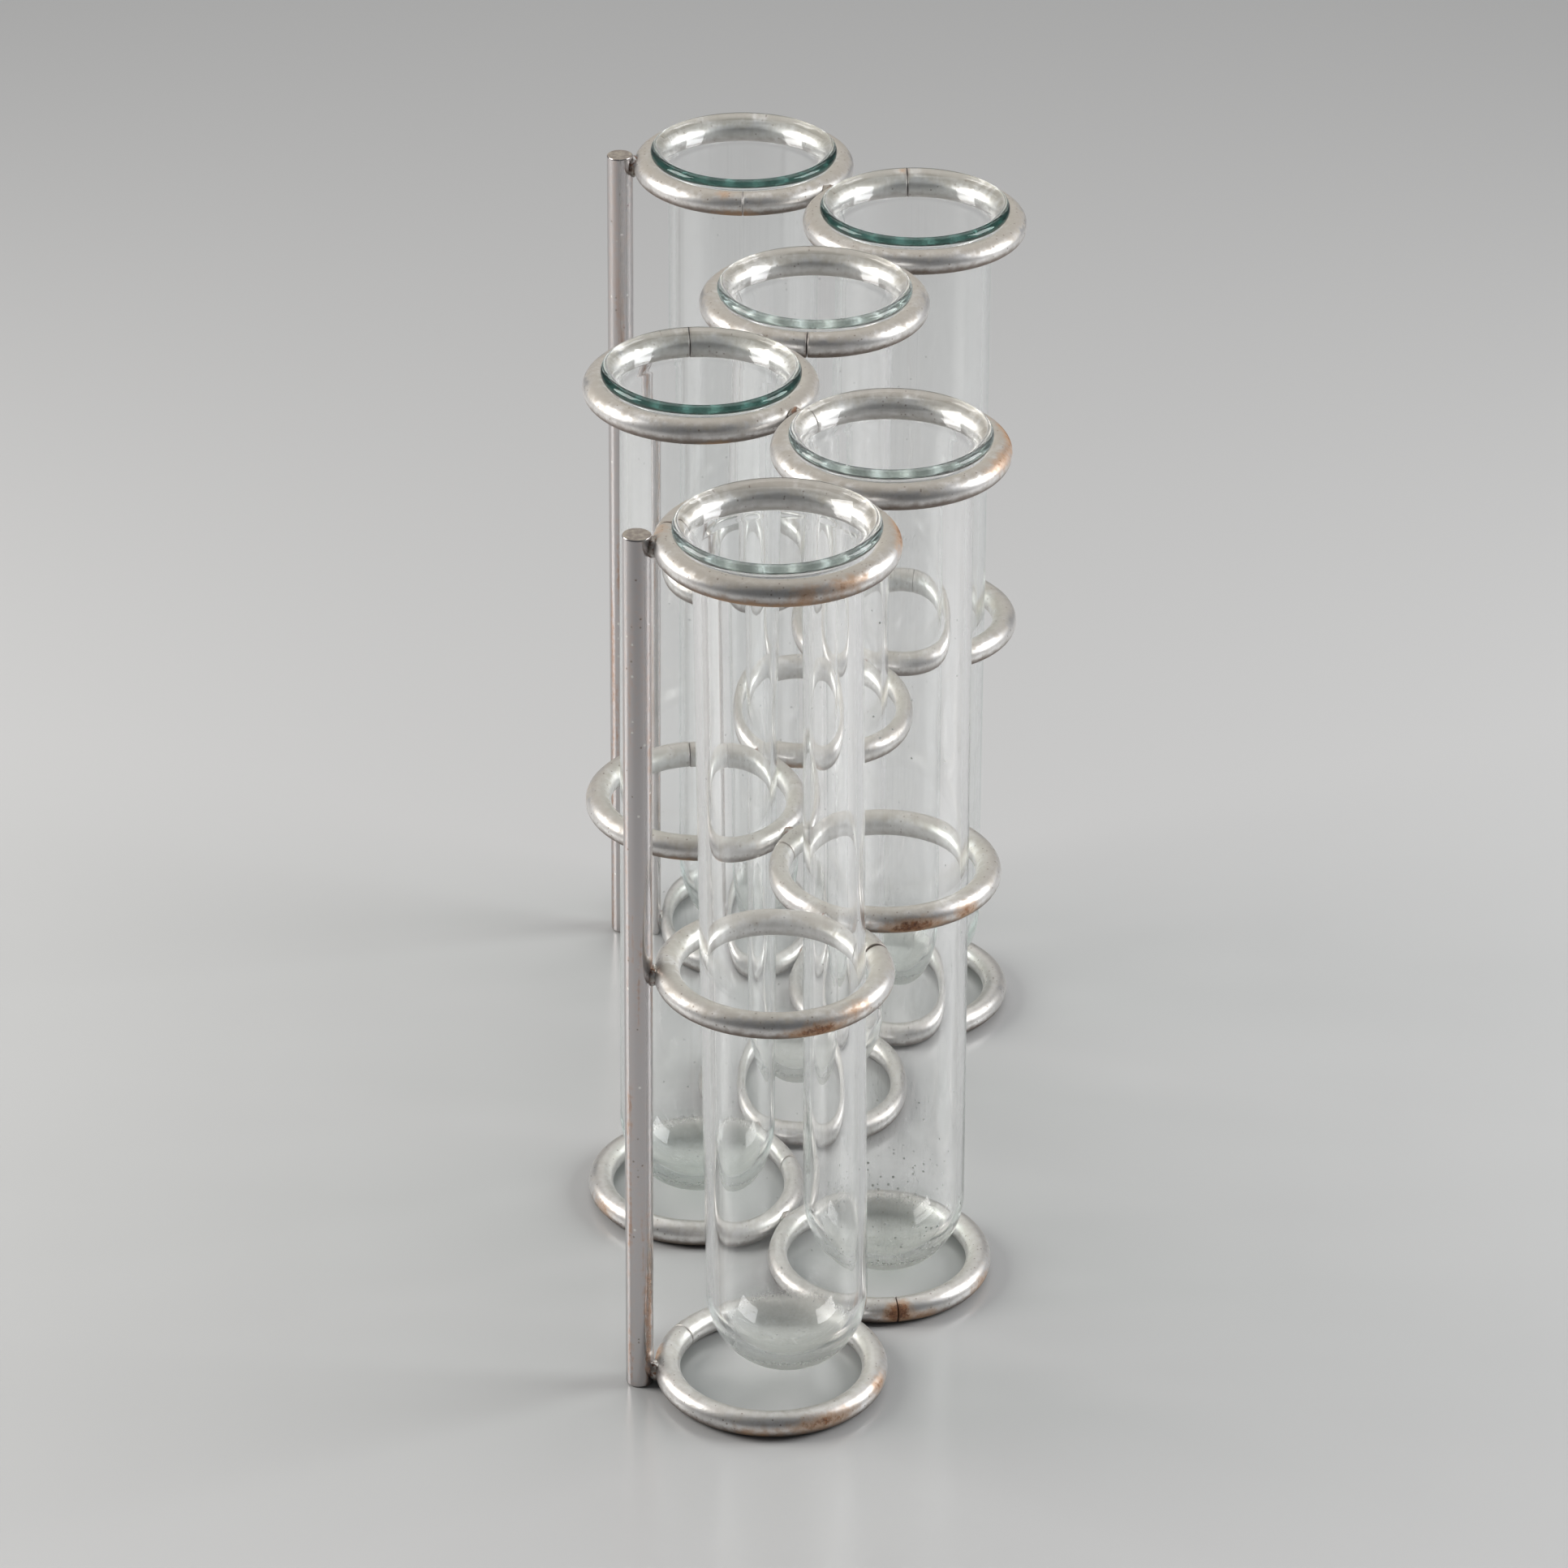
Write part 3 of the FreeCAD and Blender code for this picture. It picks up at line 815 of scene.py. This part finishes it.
def make_tube(number, glass):
    """Blown tube with a round end and a flared lip, hanging along its joint's axis."""
    joint = next(j for j in frame["joints"] if j["child"] == f"tube_{number}")
    axis = Vector(joint["axis"]).normalized()
    pivot = box_middle(f"top_ring_{number}")
    low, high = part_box(f"test_tube_{number}")
    length = tube_length(high.z - low.z, axis)
    end_centre = pivot - axis * ((pivot.z - low.z - TUBE_RADIUS) / axis.z)
    base = end_centre - axis * TUBE_RADIUS
    side_way = Vector((0, 1, 0)).cross(axis).normalized()
    depth_way = axis.cross(side_way)
    waves = draw_lines(number)

    rows = []
    dust = []
    frost = [FROST]
    for radius, height, share in tube_profile(length):
        row = []
        low_dirt = LOW_DIRT * math.exp(-(height / LOW_DIRT_HEIGHT) ** 2)
        low_frost = FROST * math.exp(-(height / FROST_HEIGHT) ** 4)
        for side in range(TUBE_SIDES):
            around = FULL_TURN * side / TUBE_SIDES
            rippled = radius - share * DRAW_LINE_DEPTH * ripple_at(waves, around, height)
            way = side_way * math.cos(around) + depth_way * math.sin(around)
            row.append(base + axis * height + way * rippled)
            dust.append(min(1.0, DUST[number] + low_dirt))
            frost.append(low_frost if share == 0.0 else 0.0)
        rows.append(row)
    points, faces = capped_tube(rows, base, base + axis * BOTTOM_THICKNESS)
    tube = mesh_object(f"tube_{number}_glass", points, faces)
    store(tube, "dust", [DUST[number]] + dust + [DUST[number]])
    store(tube, "frost", frost + [0.0])
    tube.data.materials.append(glass)
    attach(tube, f"tube_{number}")
    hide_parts(f"test_tube_{number}")


# ------------------------------------------------------------------ stage
def floor_paint():
    """Plain pale board with a soft gloss."""
    material, tree, _ = new_material("pale_floor")
    finish_material(tree, {"Base Color": FLOOR_COLOUR, "Roughness": FLOOR_ROUGHNESS})
    return material


def make_floor():
    corners = [(-FLOOR_HALF, -FLOOR_HALF, 0), (FLOOR_HALF, -FLOOR_HALF, 0),
               (FLOOR_HALF, FLOOR_HALF, 0), (-FLOOR_HALF, FLOOR_HALF, 0)]
    floor = mesh_object("floor", corners, [(0, 1, 2, 3)])
    floor.data.materials.append(floor_paint())


def softbox(name, place, target, size, power, colour):
    """Rectangular lamp that faces its target; size is its width and height."""
    lamp = bpy.data.lights.new(name, "AREA")
    lamp.shape = "RECTANGLE"
    lamp.size, lamp.size_y = size
    lamp.energy = power
    lamp.color = colour
    made = bpy.data.objects.new(name, lamp)
    bpy.context.scene.collection.objects.link(made)
    made.location = place
    made.rotation_euler = (Vector(target) - Vector(place)).to_track_quat("-Z", "Y").to_euler()


def make_lights():
    """A small soft lamp at each side, a big one above and behind, and a dim even room."""
    side, back, height = SIDE_BOX
    softbox("left_box", (-side, back, height), RACK_MIDDLE, SIDE_BOX_SIZE, LEFT_POWER, LEFT_WHITE)
    softbox("right_box", SIDE_BOX, RACK_MIDDLE, SIDE_BOX_SIZE, RIGHT_POWER, RIGHT_WHITE)
    softbox("top_box", TOP_BOX, TOP_BOX_AIM, TOP_BOX_SIZE, TOP_POWER, PLAIN_WHITE)
    world = bpy.data.worlds.new("studio")
    world.use_nodes = True
    room = world.node_tree.nodes["Background"]
    room.inputs["Color"].default_value = ROOM_COLOUR
    room.inputs["Strength"].default_value = ROOM_STRENGTH
    bpy.context.scene.world = world


def make_camera():
    """Long lens in front of the row, looking down along it."""
    data = bpy.data.cameras.new("camera")
    data.lens = LENS
    data.sensor_width = SENSOR_WIDTH
    data.clip_start = CLIP_START
    forward = Vector((0, math.cos(LOOK_DOWN), -math.sin(LOOK_DOWN)))
    level = Vector((1, 0, 0))
    raised = level.cross(forward)
    right = level * math.cos(ROLL) + raised * math.sin(ROLL)
    up = raised * math.cos(ROLL) - level * math.sin(ROLL)
    turned = Matrix((right, up, -forward)).transposed().to_4x4()
    camera = bpy.data.objects.new("camera", data)
    bpy.context.scene.collection.objects.link(camera)
    camera.matrix_world = Matrix.Translation(CAMERA_TARGET - forward * CAMERA_DISTANCE) @ turned
    bpy.context.scene.camera = camera


def set_light_paths():
    """Light runs down inside a tube's wall in many small bounces, which gives the lip its green."""
    scene = bpy.context.scene
    scene.cycles.max_bounces = 256
    scene.cycles.transmission_bounces = 64
    scene.cycles.glossy_bounces = 256
    scene.cycles.diffuse_bounces = 4
    scene.cycles.transparent_max_bounces = 48
    scene.cycles.caustics_refractive = False
    scene.cycles.caustics_reflective = False
    scene.view_settings.view_transform = "Standard"


# ------------------------------------------------------------------ everything
make_camera()
set_light_paths()
make_lights()
make_floor()

paint = ring_paint()
steel = rod_steel()
metal = weld_metal()
green_glass = tube_glass("green_glass", GREEN_DENSITY)
clear_glass = tube_glass("clear_glass", CLEAR_DENSITY)
for level in LEVELS:
    for number in TUBES:
        make_ring(level, number, paint)
    make_welds(f"welds_{level}", ring_joints(level), metal, f"{level}_ring_welds")
make_rod("back_rod", steel)
make_rod("front_rod", steel)
make_welds("welds_rods", rod_joints(), metal, "rod_welds")
for number in TUBES:
    make_tube(number, green_glass if number in GREEN_TUBES else clear_glass)
